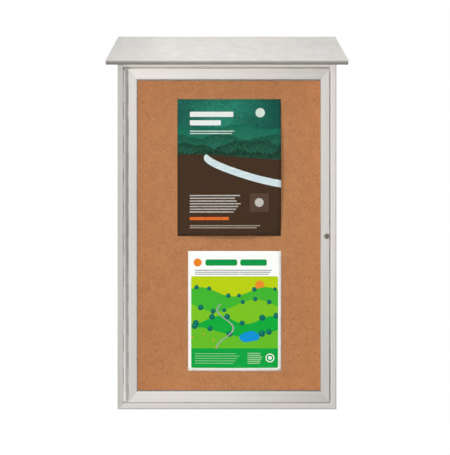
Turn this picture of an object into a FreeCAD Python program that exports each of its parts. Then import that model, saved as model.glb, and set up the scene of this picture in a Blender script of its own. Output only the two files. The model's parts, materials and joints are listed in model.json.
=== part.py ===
"""Lockable notice board: a wall case of plastic lumber with a sloping roof and a glazed, locked door.

Millimetres. X runs to the viewer's right, Y runs back to the wall and Z is up. The origin is in
the wall's plane, at the middle of the case's width and height, where the four wall bolts centre.
The door is shut and its lock is open, with the cam upright.
"""

import FreeCAD
import Part
import Sketcher

import math
import os
import re

# The driving sizes. Each stands alone; what fits to a piece takes its size from that piece.
SIZES = {
    # case boards
    "box_width": 660.4,
    "box_height": 1050,
    "box_depth": 139.7,
    "board_thick": 18,
    "board_round": 3,
    "board_ease": 5,
    # roof sheet, its two cleats and its rear rail
    "roof_slope": 38.5,
    "roof_thick": 12.7,
    "roof_side_overhang": 28,
    "roof_front_overhang": 25,
    "roof_round": 1.2,
    "eave_round": 3.5,
    "cleat_side": 19.05,
    "cleat_front_inset": 38,
    "cleat_rear_inset": 34,
    "rear_rail_height": 38,
    # wall rails, back panel, tack board and wall bolts
    "wall_rail_height": 64,
    "panel_thick": 6.35,
    "backer_thick": 12.7,
    "cork_thick": 3.2,
    "panel_fit": 0.5,
    "bolt_inset_side": 32.2,
    "bolt_inset_end": 29,
    "bolt_hole_dia": 6.6,
    "bolt_access_dia": 12,
    "tack_inset": 7,
    # sheets on the cork: size and middle
    "paper_thick": 0.6,
    "poster_width": 332,
    "poster_height": 439,
    "poster_across": 7.3,
    "poster_up": 216.3,
    "flyer_width": 299,
    "flyer_height": 385,
    "flyer_across": 24.8,
    "flyer_up": -244.6,
    # door frame and the gaps round it
    "stile_width": 26,
    "rail_width": 32.5,
    "member_thick": 19.05,
    "member_round": 3,
    "gap_top": 5,
    "gap_bottom": 3,
    "gap_lock": 3,
    "lip_thick": 8,
    "rebate_width": 8,
    # glazing: the tape stands above the lower rail's lip
    "pane_thick": 3,
    "pane_fit": 1,
    "tape_thick": 1,
    "tape_width": 6,
    "tape_sill": 10,
    "bead_fit": 0.2,
    "bead_setback": 1,
    # stops and seal behind the door
    "stop_width": 16,
    "stop_thick": 12,
    "seal_width": 8,
    "seal_thick": 3,
    "seal_clear": 0.3,
    "lock_space": 32,
    # continuous hinge in the gap between the side board and the door, its knuckles at the pitch
    # nearest to this one that fills the leaves
    "hinge_gap": 15,
    "knuckle_dia": 12.7,
    "knuckle_pitch": 50,
    "knuckle_clear": 0.5,
    "hinge_proud": 1,
    "hinge_end": 5,
    "leaf_thick": 3,
    "leaf_width": 19,
    "leaf_clear": 0.9,
    "leaf_screw_line": 13,
    "pin_dia": 6.3,
    "pin_clear": 0.1,
    # cam lock
    "lock_inset": 9,
    "lock_drop": 3,
    "head_dia": 18,
    "head_rise": 2.5,
    "head_round": 1.8,
    "barrel_dia": 14,
    "barrel_length": 25.5,
    "barrel_clear": 0.1,
    "plug_dia": 10,
    "plug_head_dia": 12,
    "plug_head_depth": 2,
    "turn_clear": 0.15,
    "key_width": 1.8,
    "key_height": 7.5,
    "key_depth": 14,
    "washer_dia": 20,
    "washer_thick": 0.8,
    "nut_corner_dia": 20.4,
    "nut_thick": 4,
    "cam_thick": 2,
    "cam_width": 12.7,
    "cam_hub_dia": 16,
    "cam_reach": 21,
    "cam_clear": 0.4,
    "cam_square": 7,
    "cam_square_clear": 0.1,
    # keeper over the mortise that the cam enters
    "keeper_length": 60,
    "keeper_width": 18,
    "keeper_thick": 1.5,
    "keeper_land": 9.5,
    "keeper_slot_width": 6,
    "keeper_screw_edge": 4.5,
    "mortise_depth": 10.8,
    # screws; screw_bite is the share of the last piece's thickness that a screw enters
    "screw_clear": 0.1,
    "screw_bite": 0.68,
    "case_screw_dia": 4.2,
    "case_screw_head": 8.4,
    "case_screw_length": 50,
    "case_screw_edge": 25,
    "door_screw_length": 45,
    "wood_screw_dia": 3.5,
    "wood_screw_head": 6.8,
    "cleat_screw_edge": 12,
    "leaf_screw_length": 16,
    "bead_screw_dia": 2.9,
    "bead_screw_head": 5.4,
    "bead_screw_length": 19,
    "tack_screw_head": 10,
    "tack_screw_rise": 2,
    "cam_screw_length": 10,
    "screw_edge": 60,
}

# Places worked out from the sizes, as formulas of the second sheet.
PLACES = {
    "side_x": "box_width / 2",
    "inner_x": "side_x - board_thick",
    "end_z": "box_height / 2",
    "inner_z": "end_z - board_thick",
    "front_y": "-box_depth",
    "roof_wall_z": "end_z + box_depth * tan(roof_slope)",
    "panel_x": "inner_x - panel_fit",
    "panel_z": "inner_z - panel_fit",
    "panel_rear_y": "-board_thick",
    "panel_front_y": "panel_rear_y - panel_thick",
    "backer_front_y": "panel_front_y - backer_thick",
    "cork_front_y": "backer_front_y - cork_thick",
    "bolt_x": "inner_x - bolt_inset_side",
    "bolt_z": "inner_z - bolt_inset_end",
    "door_left_x": "-inner_x + hinge_gap",
    "door_right_x": "inner_x - gap_lock",
    "door_low_z": "-inner_z + gap_bottom",
    "door_high_z": "inner_z - gap_top",
    "door_height": "door_high_z - door_low_z",
    "door_rear_y": "front_y + member_thick",
    "door_mid_y": "front_y + member_thick / 2",
    "lip_rear_y": "front_y + lip_thick",
    "pane_front_y": "lip_rear_y + tape_thick",
    "pane_rear_y": "pane_front_y + pane_thick",
    "view_left_x": "door_left_x + stile_width",
    "view_right_x": "door_right_x - stile_width",
    "view_low_z": "door_low_z + rail_width",
    "view_high_z": "door_high_z - rail_width",
    "stop_front_y": "door_rear_y + seal_clear + seal_thick",
    "stop_mid_y": "stop_front_y + stop_thick / 2",
    "stop_x": "inner_x - stop_width",
    "stop_z": "inner_z - stop_width",
    "stop_hinge_x": "door_left_x + seal_width",
    "axis_x": "-inner_x + hinge_gap / 2",
    "axis_y": "front_y - hinge_proud",
    "hinge_low_z": "door_low_z + hinge_end",
    "hinge_length": "door_height - 2 * hinge_end",
    "knuckle_pairs": "round(hinge_length / (2 * knuckle_pitch))",
    "knuckle_step": "hinge_length / (2 * knuckle_pairs)",
    "leaf_front_y": "axis_y + knuckle_dia / 2 + leaf_clear",
    "leaf_rear_y": "axis_y + leaf_width",
    "lock_x": "door_right_x - lock_inset",
    "lock_z": "-lock_drop",
    "head_front_y": "front_y - head_rise",
    "barrel_rear_y": "front_y + barrel_length",
    "cam_front_y": "barrel_rear_y + cam_clear",
    "cam_rear_y": "cam_front_y + cam_thick",
    "cam_mid_y": "cam_front_y + cam_thick / 2",
    "keeper_slot_length": "keeper_length - 2 * keeper_land",
}

OVER = 5  # how far a cutting shape runs past what it cuts

doc = FreeCAD.newDocument("notice_board")
pieces = {}


def linked(formula, own=None):
    """The formula with each name written as a cell of its sheet."""

    def cell(match):
        name = match.group(0)
        sheet = "Sizes" if name in SIZES else "Places" if name in PLACES else None
        return name if sheet in (None, own) else f"{sheet}.{name}"

    return re.sub(r"[a-z]+(?:_[a-z]+)*", cell, formula)


def fill_sheet(name, rows):
    sheet = doc.addObject("Spreadsheet::Sheet", name)
    for row, (alias, content) in enumerate(rows.items(), start=1):
        formula = isinstance(content, str)
        sheet.set(f"A{row}", alias)
        sheet.set(f"B{row}", "=" + linked(content, own=name) if formula else str(content))
        sheet.setAlias(f"B{row}", alias)
    doc.recompute()
    return sheet


sizes = fill_sheet("Sizes", SIZES)
places = fill_sheet("Places", PLACES)


def number(formula):
    """The present value of a formula in sizes and places."""
    return float(places.evalExpression(linked(formula)))


def vector(x, y, z):
    return FreeCAD.Vector(number(x), number(y), number(z))


def keep(label, thing):
    """Name an object as a finished piece."""
    thing.Label = label
    pieces[label] = thing
    return thing


def bind(thing, **formulas):
    """Bind properties to formulas; x, y and z stand for the placement's base."""
    for name, formula in formulas.items():
        path = f"Placement.Base.{name}" if name in ("x", "y", "z") else name
        thing.setExpression(path, linked(formula))
    return thing


# Part primitives and booleans


def block(label, low, high):
    """A box between two corners, each three formulas."""
    box = doc.addObject("Part::Box", label)
    bind(box, x=low[0], y=low[1], z=low[2])
    spans = [f"({b}) - ({a})" for a, b in zip(low, high)]
    return bind(box, Length=spans[0], Width=spans[1], Height=spans[2])


def rod(label, radius, start, length, along="Z"):
    """A cylinder from start, length along X, Y or Z."""
    turns = {"Z": (0, 0, 1, 0), "X": (0, 1, 0, 90), "Y": (1, 0, 0, -90)}
    x, y, z, angle = turns[along]
    cylinder = doc.addObject("Part::Cylinder", label)
    cylinder.Placement.Rotation = FreeCAD.Rotation(FreeCAD.Vector(x, y, z), angle)
    bind(cylinder, x=start[0], y=start[1], z=start[2])
    return bind(cylinder, Radius=radius, Height=length)


def minus(label, base, *tools):
    tool = tools[0]
    if len(tools) > 1:
        tool = group(label + "_tools", tools)
    cut = doc.addObject("Part::Cut", label)
    cut.Base = base
    cut.Tool = tool
    return cut


def group(label, members):
    compound = doc.addObject("Part::Compound", label)
    compound.Links = list(members)
    return compound


# PartDesign bodies


def new_body(label):
    return doc.addObject("PartDesign::Body", label)


def origin(body, role):
    return next(item for item in body.Origin.OriginFeatures if item.Role == role)


def new_sketch(body, label, plane, offset):
    sketch = body.newObject("Sketcher::SketchObject", label)
    sketch.AttachmentSupport = [(origin(body, plane), "")]
    sketch.MapMode = "FlatFace"
    sketch.setExpression("AttachmentOffset.Base.z", linked(offset))
    return sketch


def pin_point(sketch, geometry, point, across, up):
    """Hold a point of the sketch at two formulas from the sketch's origin."""
    for kind, formula in (("DistanceX", across), ("DistanceY", up)):
        rule = Sketcher.Constraint(kind, -1, 1, geometry, point, number(formula))
        index = sketch.addConstraint(rule)
        sketch.setExpression(f"Constraints[{index}]", linked(formula))


def outline(body, label, plane, corners, offset="0"):
    """A closed sketch of straight lines through corners given as pairs of formulas."""
    sketch = new_sketch(body, label, plane, offset)
    points = [vector(across, up, "0") for across, up in corners]
    count = len(points)
    for index, point in enumerate(points):
        sketch.addGeometry(Part.LineSegment(point, points[(index + 1) % count]), False)
    for index in range(count):
        sketch.addConstraint(Sketcher.Constraint("Coincident", index, 2, (index + 1) % count, 1))
    for index, (across, up) in enumerate(corners):
        pin_point(sketch, index, 1, across, up)
    return sketch


def rectangle(body, label, plane, low, high, offset="0"):
    (left, bottom), (right, top) = low, high
    corners = [(left, bottom), (right, bottom), (right, top), (left, top)]
    return outline(body, label, plane, corners, offset)


def circles(body, label, plane, centre, radii, offset="0"):
    """A sketch of circles round one centre: the second is a hole in the first."""
    sketch = new_sketch(body, label, plane, offset)
    for index, radius in enumerate(radii):
        circle = Part.Circle(vector(*centre, "0"), FreeCAD.Vector(0, 0, 1), number(radius))
        sketch.addGeometry(circle, False)
        pin_point(sketch, index, 3, *centre)
        rule = sketch.addConstraint(Sketcher.Constraint("Radius", index, number(radius)))
        sketch.setExpression(f"Constraints[{rule}]", linked(radius))
    return sketch


def pad(body, sketch, length, reverse=False):
    feature = body.newObject("PartDesign::Pad", sketch.Label + "_pad")
    feature.Profile = sketch
    feature.Reversed = reverse
    bind(feature, Length=length)
    doc.recompute()
    return feature


def pocket(body, sketch, length=None, reverse=False):
    """Cut the sketch to a depth, or right through both ways where length is None."""
    before = body.Shape.Volume
    feature = body.newObject("PartDesign::Pocket", sketch.Label + "_pocket")
    feature.Profile = sketch
    if length is None:
        feature.Type = "ThroughAll"
        feature.SideType = "Symmetric"
    else:
        feature.Reversed = reverse
        bind(feature, Length=length)
    doc.recompute()
    assert body.Shape.Volume < before, f"{sketch.Label} cuts nothing"
    return feature


def revolve(body, sketch):
    """Turn the sketch round the body's own Y axis."""
    feature = body.newObject("PartDesign::Revolution", sketch.Label + "_turned")
    feature.Profile = sketch
    feature.ReferenceAxis = (origin(body, "Y_Axis"), [""])
    feature.Angle = 360
    doc.recompute()
    return feature


def round_edges(body, feature, radius, chosen):
    """Fillet the edges of the feature that chosen(edge) picks."""
    edges = enumerate(feature.Shape.Edges, start=1)
    names = [f"Edge{index}" for index, edge in edges if chosen(edge)]
    assert names, f"{body.Label} has no edge to round"
    fillet = body.newObject("PartDesign::Fillet", feature.Label + "_round")
    fillet.Base = (feature, names)
    bind(fillet, Radius=radius)
    doc.recompute()
    return fillet


def straight_along(edge, axis):
    """Whether the edge is a line along X, Y or Z."""
    if not isinstance(edge.Curve, Part.Line):
        return False
    return abs(getattr(edge.Curve.Direction, axis)) > 0.999


def lies_at(edge, **formulas):
    """Whether the edge's middle is at each of the given coordinates."""
    middle = edge.CenterOfMass
    return all(abs(getattr(middle, axis) - number(at)) < 0.01 for axis, at in formulas.items())


# Case boards


def rounded_front(edge, axis):
    return straight_along(edge, axis) and lies_at(edge, y="front_y")


def case_side(label, hand):
    """A side board: its top end follows the roof and its bottom end is mitred."""
    body = new_body(label)
    profile = [("0", "-end_z"), ("0", "roof_wall_z"), ("front_y", "end_z"), ("front_y", "-end_z")]
    left_face = "inner_x" if hand > 0 else "-side_x"
    board = pad(body, outline(body, label + "_side", "YZ_Plane", profile, left_face), "board_thick")
    outer, inner = f"{hand} * side_x", f"{hand} * inner_x"

    def tight_edge(edge):
        rear = straight_along(edge, "z") and lies_at(edge, x=outer, y="0")
        return rear or rounded_front(edge, "z") and lies_at(edge, x=inner)

    def outer_edge(edge):
        return rounded_front(edge, "z") and lies_at(edge, x=outer)

    board = round_edges(body, board, "board_round", tight_edge)
    round_edges(body, board, "board_ease", outer_edge)
    past = [
        (f"{hand} * (side_x + {OVER})", f"-end_z - {OVER}"),
        (f"{hand} * (inner_x - {OVER})", f"-inner_z + {OVER}"),
        (f"{hand} * (inner_x - {OVER})", f"-end_z - {OVER}"),
    ]
    pocket(body, outline(body, label + "_mitre", "XZ_Plane", past))
    return body


def keeper_mortise(body):
    """The keeper's seat and the mortise behind it, cut into the side board's inner face."""
    seat_low = ("cam_mid_y - keeper_width / 2", "lock_z - keeper_length / 2")
    seat_high = ("cam_mid_y + keeper_width / 2", "lock_z + keeper_length / 2")
    seat = rectangle(body, "keeper_seat", "YZ_Plane", seat_low, seat_high, "inner_x")
    pocket(body, seat, "keeper_thick", reverse=True)
    slot = rectangle(body, "mortise", "YZ_Plane", *keeper_slot(), "inner_x")
    pocket(body, slot, "mortise_depth", reverse=True)


def keeper_slot():
    low = ("cam_mid_y - keeper_slot_width / 2", "lock_z - keeper_slot_length / 2")
    high = ("cam_mid_y + keeper_slot_width / 2", "lock_z + keeper_slot_length / 2")
    return low, high


def case_top():
    """The board between the side boards, under the roof."""
    body = new_body("cabinet_top")
    low, high = ("0", "inner_z"), ("front_y", "end_z")
    section = rectangle(body, "top_section", "YZ_Plane", low, high, "-inner_x")
    board = pad(body, section, "2 * inner_x")
    round_edges(body, board, "board_round", lambda edge: rounded_front(edge, "x"))
    return body


def case_bottom():
    """The bottom board, mitred into the side boards."""
    body = new_body("cabinet_bottom")
    corners = [
        ("-side_x", "-end_z"),
        ("side_x", "-end_z"),
        ("inner_x", "-inner_z"),
        ("-inner_x", "-inner_z"),
    ]
    board = pad(body, outline(body, "bottom_front", "XZ_Plane", corners), "box_depth")

    def tight_edge(edge):
        rear = straight_along(edge, "x") and lies_at(edge, y="0", z="-end_z")
        return rear or rounded_front(edge, "x") and lies_at(edge, z="-inner_z")

    def outer_edge(edge):
        return rounded_front(edge, "x") and lies_at(edge, z="-end_z")

    board = round_edges(body, board, "board_round", tight_edge)
    round_edges(body, board, "board_ease", outer_edge)
    return body


def make_case():
    keep("cabinet_side_left", case_side("cabinet_side_left", -1))
    right = keep("cabinet_side_right", case_side("cabinet_side_right", 1))
    keeper_mortise(right)
    keep("cabinet_top", case_top())
    keep("cabinet_bottom", case_bottom())


# Wall rails, back panel, tack board and the sheets on it


def wall_bolt_holes(label, radius, rear, front):
    """Four rods along Y at the wall bolts, from rear to front."""
    rods = []
    for across in ("-bolt_x", "bolt_x"):
        for up in ("-bolt_z", "bolt_z"):
            start = (across, f"{front} - {OVER}", up)
            length = f"({rear}) - ({front}) + {2 * OVER}"
            rods.append(rod(f"{label}_{len(rods)}", radius, start, length, along="Y"))
    return rods


def panel(label, rear, front, hole_radius):
    """A sheet that fills the case's inside, with holes at the four wall bolts."""
    sheet = block(label + "_sheet", ("-panel_x", front, "-panel_z"), ("panel_x", rear, "panel_z"))
    keep(label, minus(label, sheet, *wall_bolt_holes(label + "_hole", hole_radius, rear, front)))


def wall_rail(label, low, high):
    bar = block(label + "_bar", ("-panel_x", "panel_rear_y", low), ("panel_x", "0", high))
    holes = wall_bolt_holes(label + "_hole", "bolt_hole_dia / 2", "0", "panel_rear_y")
    keep(label, minus(label, bar, *holes))


def sheet_on_cork(name):
    """A flat sheet against the cork, from its named size and middle."""
    left, right = (f"{name}_across {sign} {name}_width / 2" for sign in "-+")
    bottom, top = (f"{name}_up {sign} {name}_height / 2" for sign in "-+")
    low = (left, "cork_front_y - paper_thick", bottom)
    keep(name + "_sheet", block(name + "_sheet", low, (right, "cork_front_y", top)))


def make_back():
    wall_rail("wall_rail_top", "inner_z - wall_rail_height", "inner_z")
    wall_rail("wall_rail_bottom", "-inner_z", "-inner_z + wall_rail_height")
    panel("back_panel", "panel_rear_y", "panel_front_y", "bolt_hole_dia / 2")
    panel("tack_backer", "panel_front_y", "backer_front_y", "bolt_access_dia / 2")
    panel("cork_sheet", "backer_front_y", "cork_front_y", "bolt_access_dia / 2")
    sheet_on_cork("poster")
    sheet_on_cork("flyer")


# Roof


def under_roof(depth, below="0"):
    """Y and Z of a point on the roof's underside at a depth from the wall, or square below it."""
    across = f"({below}) * sin(roof_slope) - ({depth})"
    return across, f"roof_wall_z - ({depth}) * tan(roof_slope) - ({below}) * cos(roof_slope)"


def roof_panel():
    """One sheet on the sloping ends of the side boards, square at the eave and plumb at the wall."""
    body = new_body("roof_panel")
    eave = "box_depth + roof_front_overhang"
    profile = [
        ("0", "roof_wall_z"),
        ("0", "roof_wall_z + roof_thick / cos(roof_slope)"),
        under_roof(eave, "-roof_thick"),
        under_roof(eave),
    ]
    left = "-side_x - roof_side_overhang"
    section = outline(body, "roof_section", "YZ_Plane", profile, left)
    sheet = pad(body, section, "box_width + 2 * roof_side_overhang")
    eave_y, eave_z = under_roof(eave, "-roof_thick")

    def eave_edge(edge):
        return straight_along(edge, "x") and lies_at(edge, y=eave_y, z=eave_z)

    def end_edge(edge):
        return not straight_along(edge, "x") and not straight_along(edge, "z")

    sheet = round_edges(body, sheet, "eave_round", eave_edge)
    round_edges(body, sheet, "roof_round", end_edge)
    keep("roof_panel", body)


def roof_cleat(label, hand):
    """A square bar along the slope, inside a side board and against the roof's underside."""
    body = new_body(label)
    front = "box_depth - cleat_front_inset"
    rear = "cleat_rear_inset"
    profile = [
        under_roof(rear),
        under_roof(front),
        under_roof(front, "cleat_side"),
        under_roof(rear, "cleat_side"),
    ]
    left = "inner_x - cleat_side" if hand > 0 else "-inner_x"
    pad(body, outline(body, label + "_section", "YZ_Plane", profile, left), "cleat_side")
    keep(label, body)


def roof_rear_rail():
    """A rail between the side boards, bevelled to the roof's underside at the wall."""
    body = new_body("roof_rear_rail")
    profile = [
        ("0", "roof_wall_z"),
        under_roof("board_thick"),
        ("-board_thick", "roof_wall_z - rear_rail_height"),
        ("0", "roof_wall_z - rear_rail_height"),
    ]
    section = outline(body, "rear_rail_section", "YZ_Plane", profile, "-inner_x")
    pad(body, section, "2 * inner_x")
    keep("roof_rear_rail", body)


def make_roof():
    roof_panel()
    roof_cleat("roof_cleat_left", -1)
    roof_cleat("roof_cleat_right", 1)
    roof_rear_rail()


# Door stops and seal


def stop(label, low, high):
    """A stop strip between two corners in X and Z."""
    near = (low[0], "stop_front_y", low[1])
    far = (high[0], "stop_front_y + stop_thick", high[1])
    keep(label, block(label, near, far))


def seal_strip(label, low, high):
    near = (low[0], "stop_front_y - seal_thick", low[1])
    return block(label, near, (high[0], "stop_front_y", high[1]))


def make_stops():
    """Stops all round, wider past the hinge and with a space for the lock's cam at the right."""
    above = "lock_z + lock_space"
    below = "lock_z - lock_space"
    stop("door_stop_top", ("-inner_x", "stop_z"), ("inner_x", "inner_z"))
    stop("door_stop_bottom", ("-inner_x", "-inner_z"), ("inner_x", "-stop_z"))
    stop("door_stop_left", ("-inner_x", "-stop_z"), ("stop_hinge_x", "stop_z"))
    stop("door_stop_right_upper", ("stop_x", above), ("inner_x", "stop_z"))
    stop("door_stop_right_lower", ("stop_x", "-stop_z"), ("inner_x", below))
    outer = "(stop_x + seal_width)"
    level = "(stop_z + seal_width)"
    strips = [
        seal_strip("seal_top", ("door_left_x", "stop_z"), (outer, level)),
        seal_strip("seal_bottom", ("door_left_x", f"-{level}"), (outer, "-stop_z")),
        seal_strip("seal_left", ("door_left_x", "-stop_z"), ("stop_hinge_x", "stop_z")),
        seal_strip("seal_right_upper", ("stop_x", above), (outer, "stop_z")),
        seal_strip("seal_right_lower", ("stop_x", "-stop_z"), (outer, below)),
    ]
    keep("door_seal", group("door_seal", strips))


# Door frame and glazing


MITRE_OVER = f"{OVER} * rail_width / stile_width"  # the same along a mitre, as a height


def door_stile(label, outer, hand):
    """An upright with a rear rebate for the pane, mitred at both ends. hand points to the pane."""
    body = new_body(label)
    pane_edge = f"{outer} + {hand} * stile_width"
    rebate = f"{outer} + {hand} * (stile_width - rebate_width)"
    section = [
        (outer, "front_y"),
        (pane_edge, "front_y"),
        (pane_edge, "lip_rear_y"),
        (rebate, "lip_rear_y"),
        (rebate, "door_rear_y"),
        (outer, "door_rear_y"),
    ]
    profile = outline(body, label + "_section", "XY_Plane", section, "door_low_z")
    bar = pad(body, profile, "door_height")
    round_edges(body, bar, "member_round", lambda edge: rounded_front(edge, "z"))
    for end, up in (("door_high_z", 1), ("door_low_z", -1)):
        past = [
            (f"{outer} - {hand * OVER}", f"{end} + {up} * {MITRE_OVER}"),
            (f"{pane_edge} + {hand * OVER}", f"{end} - {up} * (rail_width + {MITRE_OVER})"),
            (f"{pane_edge} + {hand * OVER}", f"{end} + {up} * {MITRE_OVER}"),
        ]
        pocket(body, outline(body, f"{label}_mitre_{end[5:8]}", "XZ_Plane", past))
    keep(label, body)


def door_rail(label, outer, hand):
    """A level member like a stile. hand points up or down to the pane."""
    body = new_body(label)
    pane_edge = f"{outer} + {hand} * rail_width"
    rebate = f"{outer} + {hand} * (rail_width - rebate_width)"
    section = [
        ("front_y", outer),
        ("front_y", pane_edge),
        ("lip_rear_y", pane_edge),
        ("lip_rear_y", rebate),
        ("door_rear_y", rebate),
        ("door_rear_y", outer),
    ]
    profile = outline(body, label + "_section", "YZ_Plane", section, "door_left_x")
    bar = pad(body, profile, "door_right_x - door_left_x")
    round_edges(body, bar, "member_round", lambda edge: rounded_front(edge, "x"))
    for end, side in (("door_left_x", -1), ("door_right_x", 1)):
        past = [
            (f"{end} + {side * OVER}", f"{outer} - {hand} * {MITRE_OVER}"),
            (f"{end} - {side} * (stile_width + {OVER})", f"{pane_edge} + {hand} * {MITRE_OVER}"),
            (f"{end} + {side * OVER}", f"{pane_edge} + {hand} * {MITRE_OVER}"),
        ]
        pocket(body, outline(body, f"{label}_mitre_{end[5:9]}", "XZ_Plane", past))
    keep(label, body)


def ring(label, low, high, width, sill, rear, depth):
    """A flat ring between two corners in X and Z, from rear forward by depth: width across, and
    as wide as the sill at the bottom."""
    body = new_body(label)
    sketch = rectangle(body, label + "_outer", "XZ_Plane", low, high, f"-({rear})")
    pad(body, sketch, depth)
    inside_low = (f"{low[0]} + {width}", f"{low[1]} + {sill}")
    inside_high = tuple(f"{at} - {width}" for at in high)
    hole = rectangle(body, label + "_hole", "XZ_Plane", inside_low, inside_high)
    pocket(body, hole)
    keep(label, body)


def glazing_bead(label, low_outer, high_outer, low_inner, high_inner):
    """A mitred strip behind the pane, from its outer edge to its inner edge."""
    body = new_body(label)
    corners = [low_outer, high_outer, high_inner, low_inner]
    face = outline(body, label + "_face", "XZ_Plane", corners, "-door_rear_y")
    pad(body, face, "door_rear_y - pane_rear_y")
    keep(label, body)


def make_door():
    door_stile("door_stile_hinge", "door_left_x", 1)
    door_stile("door_stile_lock", "door_right_x", -1)
    door_rail("door_rail_top", "door_high_z", -1)
    door_rail("door_rail_bottom", "door_low_z", 1)
    hole = barrel_hole("stile_hole", "front_y", "member_thick")
    keep("door_stile_lock", minus("door_stile_lock_bored", pieces["door_stile_lock"], hole))


def make_glazing():
    seat = "(rebate_width - pane_fit)"
    low = (f"view_left_x - {seat}", "pane_front_y", f"view_low_z - {seat}")
    high = (f"view_right_x + {seat}", "pane_rear_y", f"view_high_z + {seat}")
    keep("window_pane", block("window_pane", low, high))
    edges = (low[0], low[2]), (high[0], high[2])
    ring("glazing_tape", *edges, "tape_width", "tape_sill", "pane_front_y", "tape_thick")
    out = "(rebate_width - bead_fit)"
    left, left_in = f"view_left_x - {out}", "view_left_x - bead_setback"
    right, right_in = f"view_right_x + {out}", "view_right_x + bead_setback"
    low, low_in = f"view_low_z - {out}", "view_low_z - bead_setback"
    high, high_in = f"view_high_z + {out}", "view_high_z + bead_setback"
    outer = {"bl": (left, low), "br": (right, low), "tr": (right, high), "tl": (left, high)}
    inner = {
        "bl": (left_in, low_in),
        "br": (right_in, low_in),
        "tr": (right_in, high_in),
        "tl": (left_in, high_in),
    }
    ends = {"left": ("bl", "tl"), "right": ("br", "tr"), "bottom": ("bl", "br"), "top": ("tl", "tr")}
    for side, (first, last) in ends.items():
        glazing_bead(f"glazing_bead_{side}", outer[first], outer[last], inner[first], inner[last])


# Continuous hinge: two comb-edged leaves whose knuckles take turns along one pin


def hinge_leaf(label, hand, first):
    """A leaf whose knuckles fill every second place from the first. hand points to its board."""
    body = new_body(label)
    plate = f"axis_x + {hand} * hinge_gap / 2"
    inside = f"{plate} - {hand} * leaf_thick"
    strip_low, strip_high = (plate, "leaf_front_y"), (inside, "leaf_rear_y")
    strip = rectangle(body, label + "_strip", "XY_Plane", strip_low, strip_high, "hinge_low_z")
    pad(body, strip, "hinge_length")
    place = f"hinge_low_z + {first} * knuckle_step + knuckle_clear / 2"
    height = "knuckle_step - knuckle_clear"
    low, high = (plate, "axis_y"), (inside, "leaf_front_y + leaf_thick")
    tongue = pad(body, rectangle(body, label + "_tongue", "XY_Plane", low, high, place), height)
    radii = ("knuckle_dia / 2", "pin_dia / 2 + pin_clear")
    centre = ("axis_x", "axis_y")
    knuckle = pad(body, circles(body, label + "_knuckle", "XY_Plane", centre, radii, place), height)
    pattern = body.newObject("PartDesign::LinearPattern", label + "_knuckles")
    pattern.Originals = [tongue, knuckle]
    pattern.Direction = (origin(body, "Z_Axis"), [""])
    pattern.Mode = "Spacing"
    bind(pattern, Offset="2 * knuckle_step", Occurrences="knuckle_pairs")
    body.Tip = pattern
    keep(label, body)


def make_hinge():
    hinge_leaf("hinge_leaf_fixed", -1, 0)
    hinge_leaf("hinge_leaf_moving", 1, 1)
    foot = ("axis_x", "axis_y", "hinge_low_z")
    keep("hinge_pin", rod("hinge_pin", "pin_dia / 2", foot, "hinge_length"))


# Cam lock, about an axis along Y


def barrel_hole(label, start, length):
    """A rod that cuts the lock barrel's hole, from start back through a length."""
    foot = ("lock_x", f"{start} - {OVER}", "lock_z")
    return rod(label, "barrel_dia / 2 + barrel_clear", foot, f"{length} + {2 * OVER}", "Y")


def lock_body():
    """A flanged barrel with a stepped bore for the plug."""
    body = new_body("lock_body")
    bore = "plug_dia / 2 + turn_clear"
    step = "plug_head_dia / 2 + turn_clear"
    step_y = "head_front_y + plug_head_depth"
    profile = [
        (bore, "barrel_rear_y"),
        ("barrel_dia / 2", "barrel_rear_y"),
        ("barrel_dia / 2", "front_y"),
        ("head_dia / 2", "front_y"),
        ("head_dia / 2", "head_front_y"),
        (step, "head_front_y"),
        (step, step_y),
        (bore, step_y),
    ]
    turned = revolve(body, outline(body, "lock_body_half", "XY_Plane", profile))
    rim = number("head_dia / 2")

    def rim_edge(edge):
        circle = isinstance(edge.Curve, Part.Circle) and abs(edge.Curve.Radius - rim) < 0.01
        return circle and lies_at(edge, y="head_front_y")

    round_edges(body, turned, "head_round", rim_edge)
    keep("lock_body", bind(body, x="lock_x", z="lock_z"))


def lock_plug():
    """The part that the key turns: a headed pin with a keyway and a square tail for the cam."""
    body = new_body("lock_plug")
    shoulder = "head_front_y + plug_head_depth - turn_clear"
    profile = [
        ("0", "head_front_y"),
        ("plug_head_dia / 2", "head_front_y"),
        ("plug_head_dia / 2", shoulder),
        ("plug_dia / 2", shoulder),
        ("plug_dia / 2", "cam_front_y"),
        ("0", "cam_front_y"),
    ]
    revolve(body, outline(body, "plug_half", "XY_Plane", profile))
    low, high = ("-key_width / 2", "-key_height / 2"), ("key_width / 2", "key_height / 2")
    keyway = rectangle(body, "keyway", "XZ_Plane", low, high, "-head_front_y")
    pocket(body, keyway, "key_depth")
    half = "cam_square / 2"
    tail = rectangle(body, "plug_tail", "XZ_Plane", (f"-{half}", f"-{half}"), (half, half), "-cam_rear_y")
    pad(body, tail, "cam_thick")
    keep("lock_plug", bind(body, x="lock_x", z="lock_z"))


def lock_cam():
    """The flat cam on the plug's square tail, standing upright."""
    body = new_body("lock_cam")
    hub = circles(body, "cam_hub", "XZ_Plane", ("0", "0"), ["cam_hub_dia / 2"], "-cam_rear_y")
    pad(body, hub, "cam_thick")
    low, high = ("-cam_width / 2", "0"), ("cam_width / 2", "cam_reach")
    pad(body, rectangle(body, "cam_arm", "XZ_Plane", low, high, "-cam_rear_y"), "cam_thick")
    half = "(cam_square / 2 + cam_square_clear)"
    pocket(body, rectangle(body, "cam_square", "XZ_Plane", (f"-{half}", f"-{half}"), (half, half)))
    keep("lock_cam", bind(body, x="lock_x", z="lock_z"))


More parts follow.
